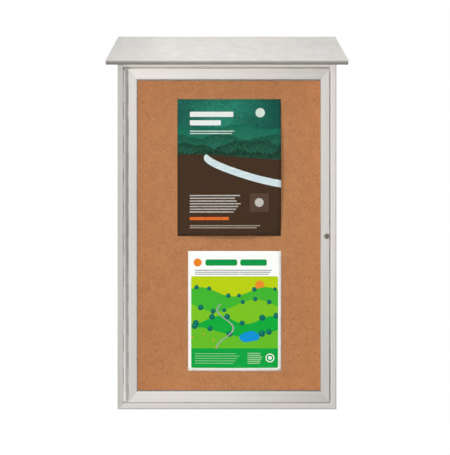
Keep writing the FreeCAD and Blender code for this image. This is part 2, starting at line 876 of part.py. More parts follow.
def lock_fixings():
    """The washer and the hexagon nut that hold the lock to the stile."""
    hole = barrel_hole("fixings_hole", "door_rear_y", "washer_thick + nut_thick")
    seat = ("lock_x", "door_rear_y", "lock_z")
    disc = rod("washer_disc", "washer_dia / 2", seat, "washer_thick", "Y")
    keep("lock_washer", minus("lock_washer", disc, hole))
    hexagon = doc.addObject("Part::Prism", "nut_hexagon")
    hexagon.Placement.Rotation = FreeCAD.Rotation(FreeCAD.Vector(1, 0, 0), -90)
    bind(hexagon, x="lock_x", y="door_rear_y + washer_thick", z="lock_z")
    bind(hexagon, Circumradius="nut_corner_dia / 2", Height="nut_thick")
    keep("lock_nut", minus("lock_nut", hexagon, hole))


def lock_keeper():
    """A slotted plate, flush in the side board, that the cam turns in behind."""
    face, rear = "inner_x", "inner_x + keeper_thick"
    low = (face, "cam_mid_y - keeper_width / 2", "lock_z - keeper_length / 2")
    high = (rear, "cam_mid_y + keeper_width / 2", "lock_z + keeper_length / 2")
    plate = block("keeper_plate", low, high)
    slot_low, slot_high = keeper_slot()
    opening = block("keeper_opening", (f"{face} - {OVER}", *slot_low), (f"{rear} + {OVER}", *slot_high))
    keep("lock_keeper", minus("lock_keeper", plate, opening))


def make_lock():
    lock_body()
    lock_plug()
    lock_cam()
    lock_fixings()
    lock_keeper()


# Screws. Each group is one piece; what a screw passes through is drilled for it.


def countersunk(radius, head_radius, length, slack=0):
    """A flat headed screw along +Z from the middle of its head's face."""
    r, head = radius + slack, head_radius + slack
    reach = length + slack
    face = [(0, -slack), (head, -slack), (head, 0)] if slack else [(0, 0), (head, 0)]
    return turned_solid(face + [(r, head - r), (r, reach), (0, reach)])


def washer_head(radius, head_radius, length, rise, slack=0):
    """A screw whose low round head stands on the surface; its clearance is the shank's alone."""
    r = radius + slack
    reach = length + slack
    if slack:
        return turned_solid([(0, -slack), (r, -slack), (r, reach), (0, reach)])
    crown = head_radius * 0.6
    points = [(0, -rise), (crown, -rise), (head_radius, -rise / 2), (head_radius, 0)]
    return turned_solid(points + [(r, 0), (r, reach), (0, reach)])


def turned_solid(points):
    """Turn a half outline of (radius, depth) points round the Z axis."""
    corners = [FreeCAD.Vector(radius, 0, depth) for radius, depth in points]
    face = Part.Face(Part.makePolygon(corners + corners[:1]))
    return face.revolve(FreeCAD.Vector(), FreeCAD.Vector(0, 0, 1), 360)


def square_drive(shape, shank_radius, top):
    """Sink a square socket into a screw's head, as deep as the shank is thick."""
    side = shank_radius * 1.2
    depth = 2 * shank_radius
    corner = FreeCAD.Vector(-side / 2, -side / 2, top - 1)
    return shape.cut(Part.makeBox(side, side, depth + 1, corner))


class Screws:
    """A group of like screws: where they stand, which way they point, and their shapes."""

    def __init__(self, label, dia, head, length, rise=None):
        self.label = label
        self.radius = number(dia) / 2
        self.head = number(head) / 2
        self.length = number(length)
        self.rise = None if rise is None else number(rise)
        self.stands = []

    def add(self, point, direction, longer="0"):
        """Stand a screw at a point; longer is what its length has over the others'."""
        turn = FreeCAD.Rotation(FreeCAD.Vector(0, 0, 1), FreeCAD.Vector(*direction))
        place = FreeCAD.Placement(vector(*point), turn)
        self.stands.append((place, self.length + number(longer)))

    def shape(self, length, slack):
        if self.rise is None:
            one = countersunk(self.radius, self.head, length, slack)
            top = 0
        else:
            one = washer_head(self.radius, self.head, length, self.rise, slack)
            top = -self.rise
        return one if slack else square_drive(one, self.radius, top)

    def shapes(self, slack=0):
        ones = {length: self.shape(length, slack) for place, length in self.stands}
        return [ones[length].transformed(place.toMatrix()) for place, length in self.stands]


def spread(low, high, count):
    """Formulas of places evenly spread from low to high, both ends in."""
    return [f"({low}) + (({high}) - ({low})) * {index} / {count - 1}" for index in range(count)]


def case_screws():
    """Long screws: sides into top and rear rail, bottom into sides, boards into wall rails."""
    screws = Screws("case_screws", "case_screw_dia", "case_screw_head", "case_screw_length")
    for hand in (-1, 1):
        for depth in spread("-case_screw_edge", "front_y + case_screw_edge", 2):
            screws.add((f"{hand} * side_x", depth, "end_z - board_thick / 2"), (-hand, 0, 0))
            screws.add((f"{hand} * (side_x - board_thick / 2)", depth, "-end_z"), (0, 0, 1))
        rail = "roof_wall_z - (rear_rail_height + board_thick * tan(roof_slope)) / 2"
        screws.add((f"{hand} * side_x", "-board_thick / 2", rail), (-hand, 0, 0))
    for across in spread("2 * screw_edge - inner_x", "inner_x - 2 * screw_edge", 2):
        screws.add((across, "-board_thick / 2", "end_z"), (0, 0, -1))
        screws.add((across, "-board_thick / 2", "-end_z"), (0, 0, 1))
    return screws


def back_screws():
    length = "panel_thick + screw_bite * board_thick"
    screws = Screws("back_panel_screws", "wood_screw_dia", "wood_screw_head", length)
    for across in spread("screw_edge - inner_x", "inner_x - screw_edge", 3):
        for up in ("-(inner_z - wall_rail_height / 2)", "inner_z - wall_rail_height / 2"):
            screws.add((across, "panel_front_y", up), (0, 1, 0))
    return screws


def tack_screws():
    """Three at each edge of the tack board, behind the door's stiles."""
    length = "cork_thick + backer_thick + screw_bite * panel_thick"
    screws = Screws("tack_screws", "wood_screw_dia", "tack_screw_head", length, "tack_screw_rise")
    for hand in (-1, 1):
        for up in spread("2 * screw_edge - panel_z", "panel_z - 2 * screw_edge", 3):
            screws.add((f"{hand} * (inner_x - tack_inset)", "cork_front_y", up), (0, 1, 0))
    return screws


def cleat_ends(edge):
    """Depths of two screws in a cleat, each an edge distance from its end."""
    return spread(f"cleat_rear_inset + {edge}", f"box_depth - cleat_front_inset - {edge}", 2)


def roof_screws():
    """Up through each cleat into the roof, square to it."""
    length = "cleat_side + screw_bite * roof_thick"
    screws = Screws("roof_screws", "wood_screw_dia", "wood_screw_head", length)
    slope = math.radians(number("roof_slope"))
    upward = (0, -math.sin(slope), math.cos(slope))
    for hand in (-1, 1):
        for depth in cleat_ends("cleat_screw_edge"):
            across = f"{hand} * (inner_x - cleat_side / 2)"
            screws.add((across, *under_roof(depth, "cleat_side")), upward)
    return screws


def cleat_screws():
    """Sideways through each cleat into its side board, between the roof screws."""
    length = "cleat_side + screw_bite * board_thick"
    screws = Screws("cleat_screws", "wood_screw_dia", "wood_screw_head", length)
    for hand in (-1, 1):
        for depth in cleat_ends("2 * cleat_screw_edge"):
            across = f"{hand} * (inner_x - cleat_side)"
            screws.add((across, *under_roof(depth, "cleat_side / 2")), (hand, 0, 0))
    return screws


def stop_screws():
    length = "stop_width + screw_bite * board_thick"
    screws = Screws("door_stop_screws", "wood_screw_dia", "wood_screw_head", length)
    for up in spread("-stop_z + screw_edge", "stop_z - screw_edge", 3):
        longer = "stop_hinge_x + stop_x"
        screws.add(("stop_hinge_x", "stop_mid_y", up), (-1, 0, 0), longer)
    right = spread("-stop_z + screw_edge", "lock_z - lock_space - screw_edge", 2)
    right += spread("lock_z + lock_space + screw_edge", "stop_z - screw_edge", 2)
    for up in right:
        screws.add(("stop_x", "stop_mid_y", up), (1, 0, 0))
    for across in spread("-stop_x + screw_edge", "stop_x - screw_edge", 2):
        screws.add((across, "stop_mid_y", "stop_z"), (0, 0, 1))
        screws.add((across, "stop_mid_y", "-stop_z"), (0, 0, -1))
    return screws


def leaf_screws(label, hand):
    """A line of screws from the gap between the leaves. hand points to the leaf's board."""
    screws = Screws(label, "wood_screw_dia", "wood_screw_head", "leaf_screw_length")
    across = f"axis_x + {hand} * (hinge_gap / 2 - leaf_thick)"
    for up in spread("hinge_low_z + screw_edge", "hinge_low_z + hinge_length - screw_edge", 7):
        screws.add((across, "axis_y + leaf_screw_line", up), (hand, 0, 0))
    return screws


def door_screws():
    """One down or up through each mitre, from a rail into the thick part of a stile."""
    screws = Screws("door_screws", "case_screw_dia", "case_screw_head", "door_screw_length")
    for outer, hand in (("door_left_x", 1), ("door_right_x", -1)):
        across = f"{outer} + {hand} * (stile_width - rebate_width) / 2"
        screws.add((across, "door_mid_y", "door_high_z"), (0, 0, -1))
        screws.add((across, "door_mid_y", "door_low_z"), (0, 0, 1))
    return screws


def bead_screws():
    """From the beads' inner edges, past the pane, into the frame."""
    screws = Screws("glazing_screws", "bead_screw_dia", "bead_screw_head", "bead_screw_length")
    depth = "(pane_rear_y + door_rear_y) / 2"
    for up in spread("view_low_z + screw_edge", "view_high_z - screw_edge", 4):
        screws.add(("view_left_x - bead_setback", depth, up), (-1, 0, 0))
        screws.add(("view_right_x + bead_setback", depth, up), (1, 0, 0))
    for across in spread("view_left_x + screw_edge", "view_right_x - screw_edge", 2):
        screws.add((across, depth, "view_low_z - bead_setback"), (0, 0, -1))
        screws.add((across, depth, "view_high_z + bead_setback"), (0, 0, 1))
    return screws


def keeper_screws():
    length = "screw_bite * board_thick"
    screws = Screws("keeper_screws", "wood_screw_dia", "wood_screw_head", length)
    for hand in (-1, 1):
        up = f"lock_z + {hand} * (keeper_length / 2 - keeper_screw_edge)"
        screws.add(("inner_x", "cam_mid_y", up), (1, 0, 0))
    return screws


def cam_screw():
    sizes_of_screw = ("bead_screw_dia", "plug_dia", "cam_screw_length", "tack_screw_rise")
    screws = Screws("lock_cam_screw", *sizes_of_screw)
    screws.add(("lock_x", "cam_rear_y", "lock_z"), (0, -1, 0))
    return screws


def shape_feature(label, shapes):
    feature = doc.addObject("Part::Feature", label)
    feature.Shape = Part.makeCompound(shapes)
    return feature


def drill(label, tools):
    """Cut out of a piece the screw clearances that pass through it."""
    blank = pieces[label]
    near = [tool for tool in tools if blank.Shape.BoundBox.intersect(tool.BoundBox)]
    through = [tool for tool in near if blank.Shape.common(tool).Volume > 1e-6]
    if not through:
        return
    blank.Label = label + "_blank"
    drilled = minus(label + "_drilled", blank, shape_feature(label + "_drillings", through))
    keep(label, drilled)


def make_screws():
    groups = [
        case_screws(),
        back_screws(),
        tack_screws(),
        roof_screws(),
        cleat_screws(),
        stop_screws(),
        leaf_screws("hinge_screws_fixed", -1),
        leaf_screws("hinge_screws_moving", 1),
        door_screws(),
        bead_screws(),
        keeper_screws(),
        cam_screw(),
    ]
    doc.recompute()
    clearances = [tool for screws in groups for tool in screws.shapes(number("screw_clear"))]
    for label in list(pieces):
        drill(label, clearances)
    for screws in groups:
        keep(screws.label, shape_feature(screws.label, screws.shapes()))


def check_document():
    """Stop if an object failed to compute or a piece has no sound shape."""
    for thing in doc.Objects:
        faults = [state for state in thing.State if state in ("Invalid", "Error")]
        assert not faults, f"{thing.Label}: {faults}"
    for label, piece in pieces.items():
        shape = piece.Shape
        assert not shape.isNull() and shape.isValid() and shape.Solids, f"{label} is not sound"


def main():
    make_case()
    make_back()
    make_roof()
    make_stops()
    make_door()
    make_glazing()
    make_hinge()
    make_lock()
    make_screws()
    doc.recompute()
    check_document()
    os.makedirs("parts", exist_ok=True)
    for label, piece in sorted(pieces.items()):
        piece.Shape.exportStep(f"parts/{label}.step")
        solids = len(piece.Shape.Solids)
        print(f"{label}: {solids} solid{'s' * (solids > 1)}, {piece.Shape.Volume / 1000:.1f} cm3")


main()
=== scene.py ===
"""Looks of the lockable notice board: finishes, printed sheets, staples, cork plugs, stage,
light and camera.

Lengths are in metres. X runs to the viewer's right, Y back into the wall and Z up.
"""
import json
import math
import random

import bpy
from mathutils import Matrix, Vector, noise


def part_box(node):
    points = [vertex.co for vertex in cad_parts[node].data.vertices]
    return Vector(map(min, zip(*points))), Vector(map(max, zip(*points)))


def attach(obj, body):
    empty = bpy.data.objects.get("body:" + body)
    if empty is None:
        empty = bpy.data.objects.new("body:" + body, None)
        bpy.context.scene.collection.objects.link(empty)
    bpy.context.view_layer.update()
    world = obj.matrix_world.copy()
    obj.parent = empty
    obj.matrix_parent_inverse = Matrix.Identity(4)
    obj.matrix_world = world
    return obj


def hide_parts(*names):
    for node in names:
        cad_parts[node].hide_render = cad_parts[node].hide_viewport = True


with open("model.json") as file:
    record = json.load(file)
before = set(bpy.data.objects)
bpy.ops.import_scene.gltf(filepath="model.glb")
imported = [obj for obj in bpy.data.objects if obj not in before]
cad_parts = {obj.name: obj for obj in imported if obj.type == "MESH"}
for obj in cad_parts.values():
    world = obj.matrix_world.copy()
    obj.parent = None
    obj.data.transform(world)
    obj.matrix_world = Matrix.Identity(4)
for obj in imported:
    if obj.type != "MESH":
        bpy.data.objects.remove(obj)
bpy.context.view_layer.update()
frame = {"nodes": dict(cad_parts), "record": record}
nodes = frame["nodes"]
random.seed(11)
MM_PER_M = 1000

# Camera, as it stood for the photograph
CAMERA_PLACE = (-0.006, -1.6067, 0.0235)
LENS = 38.57
SENSOR = 36.0

# Light: a lamp right behind the camera and a weak one there for the brighter sheet alone, a soft
# one at the upper left and one behind the case
FRONT_PLACE = (-0.006, -1.62, 0.0235)
FRONT_RADIUS = 0.04
FRONT_POWER = 17.0
FLYER_POWER = 5.0
KEY_PLACE = (-2.85, -3.45, 2.85)
KEY_SIZE = 1.35
KEY_POWER = 124.0
BACK_PLACE = (0.8, 2.4, 1.2)
BACK_SIZE = 1.8
BACK_POWER = 40.0

# Floor, shaded near its middle and white away from it
FLOOR_Z = -1.35
FLOOR_RADIUS = 9.0
FLOOR_SIDES = 96
FLOOR_GREY = (0.82, 0.82, 0.82)
FLOOR_SHADED_TO = 0.45
FLOOR_WHITE_FROM = 1.25

# Surroundings: what they light the case with, what polished faces mirror, and how softly each
# goes over from below to above or from left to right
SKY_LIGHT = 0.38
GROUND_LIGHT = 0.11
HORIZON_BLUR = 0.4
MIRROR_LEFT = 1.0
MIRROR_RIGHT = 0.55
MIRROR_BLUR = 0.2

# Finishes, as linear colours
LUMBER = (0.771, 0.741, 0.697)
LUMBER_WARM = (0.797, 0.741, 0.692)
LUMBER_COOL = (0.746, 0.741, 0.702)
ROOF_COOL = (0.875, 0.865, 0.825)
ROOF_WARM = (0.91, 0.865, 0.825)
# Tint of the painted shade on the roof's sawn front edge
ROOF_EDGE_SHADE_TINT = (0.97, 0.93, 0.84)
BACK_SHEET = (0.70, 0.69, 0.67)
FIBREBOARD = (0.40, 0.31, 0.22)
BLANK_PAPER = (0.8, 0.8, 0.8)
CORK = (0.54, 0.228, 0.093)
CORK_PALE = (0.585, 0.265, 0.116)
CORK_DARK = (0.46, 0.187, 0.075)
STEEL = (0.56, 0.55, 0.535)
ZINC = (0.52, 0.53, 0.54)
FOAM_DARK = (0.13, 0.114, 0.099)
FOAM_PALE = (0.285, 0.252, 0.22)
LOCK_RIM = (0.49, 0.448, 0.40)
LOCK_FACE = (0.32, 0.287, 0.25)
PANE_GLOSS = (0.25, 0.27, 0.26)
PANE_CLEAR = (0.985, 0.992, 0.988)

# The pane's reflection when it is looked at squarely, and what a grazing look adds to it
PANE_SQUARE = 0.015
PANE_GRAZING = 0.9

# Cork granules whose random value is above these are dark
DARK_COARSE = 0.955
DARK_FINE = 0.95

# How squarely a face looks down an axis to get a board's painted light or to be the roof's sawn edge
PAINTED_LIGHT_FACING = 0.7
SAWN_FORWARDS = 0.5
SAWN_DOWNWARDS = 0.2

# Shades of the roof. Painted shade up its sawn front edge, which looks down and forwards, up the
# foot of its upper face next to that edge, and towards its left and right ends, where the light
# falls off. It also darkens a little from its lower to its upper edge. Heights are above its lowest line.
EDGE_SHADE_FROM = 0.001
EDGE_SHADE_TO = 0.012
EDGE_SHADE_DARKEST = 0.29
EDGE_SHADE_TOP = 0.76
BROW_SHADE_FROM = 0.009
BROW_SHADE_TO = 0.014
ROOF_TONES = (1.01, 0.97)
ROOF_LEFT_TO = -0.18
ROOF_LEFT_PAINTED_SHADE = 0.78
ROOF_RIGHT_FROM = 0.1
ROOF_RIGHT_PAINTED_SHADE = 0.93

# Printed sheets. The ripple differs from sheet to sheet with the bow.
SHEET_GAP = 0.0004
SHEET_THICKNESS = 0.00025
SHEET_COLUMNS = 24
SHEET_ROWS = 32
POSTER_BOW = 0.011
FLYER_BOW = 0.0025
RIPPLE_HEIGHT = 0.0006
RIPPLES_ACROSS = 2.1
RIPPLES_UP = 2.9
RIPPLE_START = 5.0
RIPPLE_STEP = 300

# Staples, tilted by up to so many degrees
STAPLE_CROWN = 0.010
STAPLE_WIRE = 0.0006
STAPLE_LEG = 0.002
STAPLE_INSET = 0.009
STAPLE_TILT = 14

# Cork plugs in the 12 mm access holes of the wall bolts
PLUG_RADIUS = 0.00598
PLUG_SUNK = 0.0001
PLUG_EASE = 0.0003
PLUG_SIDES = 40


class Field:
    """A node's output: a shader, or a value that varies from place to place.

    Arithmetic and comparisons on a value add Math nodes.
    """

    def __init__(self, tree, socket):
        self.tree = tree
        self.socket = socket

    def math(self, operation, *others):
        node = self.tree.nodes.new("ShaderNodeMath")
        node.operation = operation
        for socket, value in zip(node.inputs, (self,) + others):
            feed(self.tree, socket, value)
        return Field(self.tree, node.outputs[0])

    def __add__(self, other):
        return self.math("ADD", other)

    def __sub__(self, other):
        return self.math("SUBTRACT", other)

    def __mul__(self, other):
        return self.math("MULTIPLY", other)

    def __truediv__(self, other):
        return self.math("DIVIDE", other)

    def __gt__(self, other):
        return self.math("GREATER_THAN", other)

    def __lt__(self, other):
        return self.math("LESS_THAN", other)

    def floor(self):
        return self.math("FLOOR")

    def fraction(self):
        return self.math("FRACT")

    def size(self):
        return self.math("ABSOLUTE")

    def power(self, exponent):
        return self.math("POWER", exponent)

    def either(self, other):
        return self.math("MAXIMUM", other)


def feed(tree, socket, value):
    """Links a field to a socket, or sets the socket to a plain number or colour."""
    if isinstance(value, Field):
        tree.links.new(value.socket, socket)
    elif hasattr(value, "__len__") and len(value) == 3 and socket.type == "RGBA":
        socket.default_value = (*value, 1)
    else:
        socket.default_value = value


class Graph:
    """A node tree under construction."""

    def __init__(self, tree):
        self.tree = tree

    def add(self, kind, inputs=(), output=0, **settings):
        """Adds a node and returns one of its outputs as a field."""
        node = self.tree.nodes.new("ShaderNode" + kind)
        for name, value in settings.items():
            setattr(node, name, value)
        for key, value in dict(inputs).items():
            feed(self.tree, node.inputs[key], value)
        return Field(self.tree, node.outputs[output])

    def where(self, axis, kind="Object"):
        """The point on the object along one axis, in metres, or another texture coordinate."""
        return self.add("SeparateXYZ", {0: self.add("TexCoord", output=kind)}, output=axis)

    def ramp(self, field, low, high, to_low=0, to_high=1):
        """The field's range low to high spread over another range, and held there."""
        inputs = {"Value": field, "From Min": low, "From Max": high, "To Min": to_low, "To Max": to_high}
        return self.add("MapRange", inputs)

    def over(self, factor, first, second):
        """The first shader going over to the second one."""
        return self.add("MixShader", {0: factor, 1: first, 2: second})


class Paint(Graph):
    """A procedural material under construction around one Principled shader."""

    def __init__(self, name, **settings):
        self.material = bpy.data.materials.new(name)
        self.material.use_nodes = True
        super().__init__(self.material.node_tree)
        self.shader = self.tree.nodes["Principled BSDF"]
        self.surface = Field(self.tree, self.shader.outputs[0])
        self.set(**settings)

    def set(self, **settings):
        """Sets or links the shader's sockets, named with underscores for spaces."""
        for name, value in settings.items():
            socket = name.replace("_", " ").title().replace("Ior", "IOR")
            feed(self.tree, self.shader.inputs[socket], value)

    def show(self, shader):
        """Shows another shader in place of the Principled one alone."""
        feed(self.tree, self.tree.nodes["Material Output"].inputs["Surface"], shader)

    def place(self, scale):
        """The point on the object, in metres, stretched by scale along each axis."""
        return self.add("Mapping", {"Vector": self.add("TexCoord", output="Object"), "Scale": scale})

    def noise(self, place, detail=3, rough=0.55, scale=1):
        """Soft noise about 0.5."""
        inputs = {"Vector": place, "Scale": scale, "Detail": detail, "Roughness": rough}
        return self.add("TexNoise", inputs)

    def cells(self, place, output="Color", feature="F1"):
        """Voronoi cells: each cell's own colour, or the distance that output and feature name."""
        return self.add("TexVoronoi", {"Vector": place, "Scale": 1}, output=output, feature=feature)

    def sway(self, field, low, high):
        """Noise spread over a range of shades."""
        return self.ramp(field, 0.3, 0.7, low, high)

    def choose(self, mask, outside, inside):
        """One value where the mask is one, and another elsewhere."""
        return self.add("Mix", {0: mask, 2: outside, 3: inside})

    def mix(self, factor, first, second, blend="MIX"):
        """The first colour going over to the second one."""
        inputs = {0: factor, 6: first, 7: second}
        return self.add("Mix", inputs, output=2, data_type="RGBA", blend_type=blend)

    def mottle(self, field, first, second):
        """Soft patches of two colours, where noise is low and where it is high."""
        return self.mix(self.ramp(field, 0.35, 0.65), first, second)

    def along(self, axis, ends, tones):
        """A shade that goes over three tones along an axis, from one end of a piece to the other."""
        start, end = ends
        middle = (start + end) / 2
        first, second, third = tones
        position = self.where(axis)
        shade = self.ramp(position, start, middle, first, second)
        return shade + self.ramp(position, middle, end, 0, third - second)

    def shaded(self, colour, shade):
        """The shader's base colour, made darker or lighter by a shade."""
        grey = self.add("CombineColor", {0: shade, 1: shade, 2: shade})
        self.set(base_color=self.mix(1.0, colour, grey, "MULTIPLY"))

    def bump(self, height, depth, strength=1.0):
        """Feeds the shader a surface that stands up by depth where height is one."""
        self.set(normal=self.add("Bump", {"Height": height, "Strength": strength, "Distance": depth}))


def dress(name, material):
    """Gives a CAD node one material."""
    slots = nodes[name].data.materials
    slots.clear()
    slots.append(material)


# Finishes

def drawn_out(along, across, lengthwise):
    """The scales of a texture that is drawn out along one axis."""
    return tuple(lengthwise if axis == along else across for axis in range(3))


def lumber(name, along, ends, tones, lit_face):
    """Plastic lumber: a satin grey-white with faint streaks along the board and fine specks.

    The tones paint light and shade from end to end of the board. The lit face gives the axis that a
    face in shade looks down, and how much paler its painted light makes that face.
    """
    paint = Paint(name, specular_ior_level=0.35)
    axis, painted_lightening = lit_face
    # Painted light on the face that looks down the given axis, which lies in shade
    painted_light_mask = paint.where(axis, "Normal") < -PAINTED_LIGHT_FACING
    tone = paint.along(along, ends, tones) * paint.choose(painted_light_mask, 1.0, painted_lightening)
    streak = paint.noise(paint.place(drawn_out(along, 120, 4)))
    cloud = paint.noise(paint.place((11, 11, 11)), detail=1)
    speck = paint.noise(paint.place((700, 700, 700)), detail=2)
    colour = paint.mix(0.6, paint.mottle(cloud, LUMBER_COOL, LUMBER_WARM), LUMBER)
    paint.shaded(colour, tone * paint.sway(streak, 0.965, 1.03) * paint.sway(speck, 0.98, 1.02))
    paint.set(roughness=paint.sway(streak, 0.46, 0.56))
    paint.bump(streak * 0.8 + speck * 0.2, 0.0004, 0.5)
    return paint.material


def roof_sheet():
    """Off-white sheet with a fine textured face, mottled by weather, with painted shade on its sawn front
    edge and towards its ends.
    """
    paint = Paint("roof_sheet", roughness=0.6, specular_ior_level=0.3)
    low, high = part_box("roof_panel")
    cloud = paint.noise(paint.place((26, 26, 26)), detail=4, rough=0.6)
    speck = paint.noise(paint.place((170, 170, 170)), rough=0.7)
    tint = paint.noise(paint.place((9, 9, 9)), detail=1)
    across = paint.where(0)
    height = paint.where(2)
    forwards = paint.where(1, "Normal") < -SAWN_FORWARDS
    downwards = paint.where(2, "Normal") < -SAWN_DOWNWARDS
    sawn = forwards * downwards
    colour = paint.mix(sawn, paint.mottle(tint, ROOF_COOL, ROOF_WARM), ROOF_EDGE_SHADE_TINT)
    # Painted shade: the front edge, which looks down and forwards, darkens towards its foot, and the foot
    # of the upper face darkens where its eased edge turns away from the light
    painted_edge_shade = paint.ramp(height, low.z + EDGE_SHADE_FROM, low.z + EDGE_SHADE_TO, EDGE_SHADE_DARKEST, EDGE_SHADE_TOP)
    painted_brow_shade = paint.ramp(height, low.z + BROW_SHADE_FROM, low.z + BROW_SHADE_TO, EDGE_SHADE_TOP, 1.0)
    shade = paint.sway(cloud, 0.94, 1.04) * paint.sway(speck, 0.93, 1.05)
    shade = shade * paint.ramp(height, low.z, high.z, *ROOF_TONES)
    # Painted light fall-off: the roof gets darker towards its left and right ends
    shade = shade * paint.ramp(across, low.x, ROOF_LEFT_TO, ROOF_LEFT_PAINTED_SHADE, 1.0)
    shade = shade * paint.ramp(across, ROOF_RIGHT_FROM, high.x, 1.0, ROOF_RIGHT_PAINTED_SHADE)
    paint.shaded(colour, shade * paint.choose(sawn, painted_brow_shade, painted_edge_shade))
    paint.bump(speck, 0.0005, 0.6)
    return paint.material


def plain_sheet(name, colour, roughness):
    """A plain, faintly fibrous board or sheet."""
    paint = Paint(name, roughness=roughness, specular_ior_level=0.3)
    cloud = paint.noise(paint.place((18, 18, 18)))
    fibre = paint.noise(paint.place((400, 90, 400)), rough=0.7)
    paint.shaded(colour, paint.sway(cloud, 0.95, 1.04) * paint.sway(fibre, 0.94, 1.05))
    paint.bump(fibre, 0.0003, 0.5)
    return paint.material


def cork():
    """Pressed cork: granules of two sizes in three browns, with broader mottling."""
    paint = Paint("cork", roughness=0.85, specular_ior_level=0.2)
    granules = paint.place((270, 270, 270))
    coarse = paint.cells(granules)
    fine = paint.cells(paint.place((560, 430, 560)))
    pick, chance = (paint.add("SeparateColor", {0: coarse}, output=n) for n in (0, 1))
    fine_pick, fine_chance = (paint.add("SeparateColor", {0: fine}, output=n) for n in (0, 1))
    dark = (chance > DARK_COARSE).either(fine_chance > DARK_FINE)
    patch = paint.noise(paint.place((38, 38, 38)), detail=4, rough=0.6)
    colour = paint.mix(paint.ramp(pick, 0.1, 0.95), CORK, CORK_PALE)
    colour = paint.mix(paint.ramp(fine_pick, 0.2, 0.9, 0.0, 0.5), colour, CORK)
    colour = paint.mix(dark, colour, CORK_DARK)
    paint.shaded(colour, paint.sway(patch, 0.92, 1.07))
    edge = paint.cells(granules, "Distance", "DISTANCE_TO_EDGE")
    paint.bump(paint.ramp(edge, 0.0, 0.12), 0.0004, 0.6)
    return paint.material


def steel(name, along, colour, roughness, ends=(0, 1), tones=(1, 1, 1)):
    """Brushed metal, its fine lines along one axis and its tones from end to end."""
    paint = Paint(name, metallic=1.0)
    brush = paint.noise(paint.place(drawn_out(along, 900, 14)), rough=0.7)
    cloud = paint.noise(paint.place((60, 60, 60)), detail=2)
    shade = paint.sway(brush, 0.88, 1.06) * paint.sway(cloud, 0.95, 1.04)
    paint.shaded(colour, shade * paint.along(along, ends, tones))
    paint.set(roughness=paint.sway(brush, roughness - 0.06, roughness + 0.1))
    paint.bump(brush, 0.0001, 0.4)
    return paint.material


def foam():
    """Dark grey closed cell foam."""
    paint = Paint("foam", roughness=0.9, specular_ior_level=0.2)
    pores = paint.cells(paint.place((1400, 1400, 1400)), "Distance")
    paint.set(base_color=paint.mix(paint.ramp(pores, 0.2, 0.7), FOAM_DARK, FOAM_PALE))
    paint.bump(pores, 0.0004, 0.8)
    return paint.material


def glass():
    """Clear polished sheet: mostly see-through, with more reflection at a grazing angle."""
    paint = Paint("pane", base_color=PANE_GLOSS, roughness=0.04)
    grazing = paint.add("LayerWeight", {"Blend": 0.5}, output="Facing").power(5)
    clear = paint.add("BsdfTransparent", {"Color": PANE_CLEAR})
    paint.show(paint.over(grazing * PANE_GRAZING + PANE_SQUARE, clear, paint.surface))
    return paint.material


# Which finish a CAD node gets. Three tones multiply a piece's colour from its lower end to its
# higher one; on the listed boards and the hinge they are painted light and shade. A face with
# painted light is given as lumber() takes it.
AXIS_NAMES = "xyz"
PLAIN_TONES = (0.9, 0.9, 0.9)
# Painted reflection on the hinge: its lower half is made brighter
HINGE_PAINTED_REFLECTION = (1.5, 1.04, 1.1)
# Painted light and shade on the boards, lighter towards the upper left where the light falls
PAINTED_BOARD_LIGHT = {
    "cabinet_side_left": (0.745, 0.74, 0.71),
    "cabinet_side_right": (0.89, 0.98, 0.97),
    "cabinet_top": (0.92, 0.92, 0.92),
    "cabinet_bottom": (0.94, 0.92, 0.88),
    "door_stile_hinge": (0.875, 0.84, 0.95),
    "door_stile_lock": (0.82, 0.89, 0.94),
    "door_rail_top": (1.08, 0.98, 0.80),
    "door_rail_bottom": (1.06, 1.01, 0.74),
}
# Painted light: the top board's downward face and the right board's leftward face lie in shade and are
# made paler
NO_PAINTED_LIGHT_FACE = (2, 1.0)
PAINTED_LIGHT_FACES = {"cabinet_top": (2, 1.2), "cabinet_side_right": (0, 1.25)}
METALS = {
    "stainless": dict(colour=STEEL, roughness=0.34),
    "zinc": dict(colour=ZINC, roughness=0.42),
    "lock_chrome": dict(colour=LOCK_RIM, roughness=0.36),
    "lock_face": dict(colour=LOCK_FACE, roughness=0.4),
}
PLAIN_SHEETS = {
    "back_sheet": dict(colour=BACK_SHEET, roughness=0.55),
    "fibreboard": dict(colour=FIBREBOARD, roughness=0.85),
    "print": dict(colour=BLANK_PAPER, roughness=0.5),
}
OTHERS = {"roof_sheet": roof_sheet, "cork": cork, "foam": foam, "pane": glass}
made = {}


def finish_for(node, slot):
    """The material of a CAD node, from its record slot and the way that it runs."""
    low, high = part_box(node)
    spans = [high[n] - low[n] for n in range(3)]
    along = spans.index(max(spans))
    if slot in ("board", "door_frame"):
        ends = (low[along], high[along])
        tones = PAINTED_BOARD_LIGHT.get(node, PLAIN_TONES)
        return lumber(f"lumber_{node}", along, ends, tones, PAINTED_LIGHT_FACES.get(node, NO_PAINTED_LIGHT_FACE))
    key = f"{slot}_{AXIS_NAMES[along]}" if slot in METALS else slot
    if key not in made:
        if slot in METALS:
            made[key] = steel(key, along, **METALS[slot])
        elif slot in PLAIN_SHEETS:
            made[key] = plain_sheet(key, **PLAIN_SHEETS[slot])
        else:
            made[key] = OTHERS[slot]()
    return made[key]


for subpart in frame["record"]["subparts"]:
    dress(subpart["node"], finish_for(subpart["node"], subpart["material_slot"]))
dress("lock_plug", steel("lock_face", 2, **METALS["lock_face"]))
# The hinge's tones are a painted reflection, brighter on its lower half
foot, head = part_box("hinge_leaf_fixed")
hinge_steel = steel("hinge", 2, **METALS["stainless"], ends=(foot.z, head.z), tones=HINGE_PAINTED_REFLECTION)
dress("hinge_leaf_fixed", hinge_steel)
dress("hinge_leaf_moving", hinge_steel)


# Printed sheets

# Bars in place of text: steps that give each row its own random end and its own breaks, how
# finely a bar breaks up, and the noise below which it does
ROW_PICK = 7.31
ROW_STEP = 5.0
WORDS_PER_MM = 0.33
WORD_GAP = 0.3


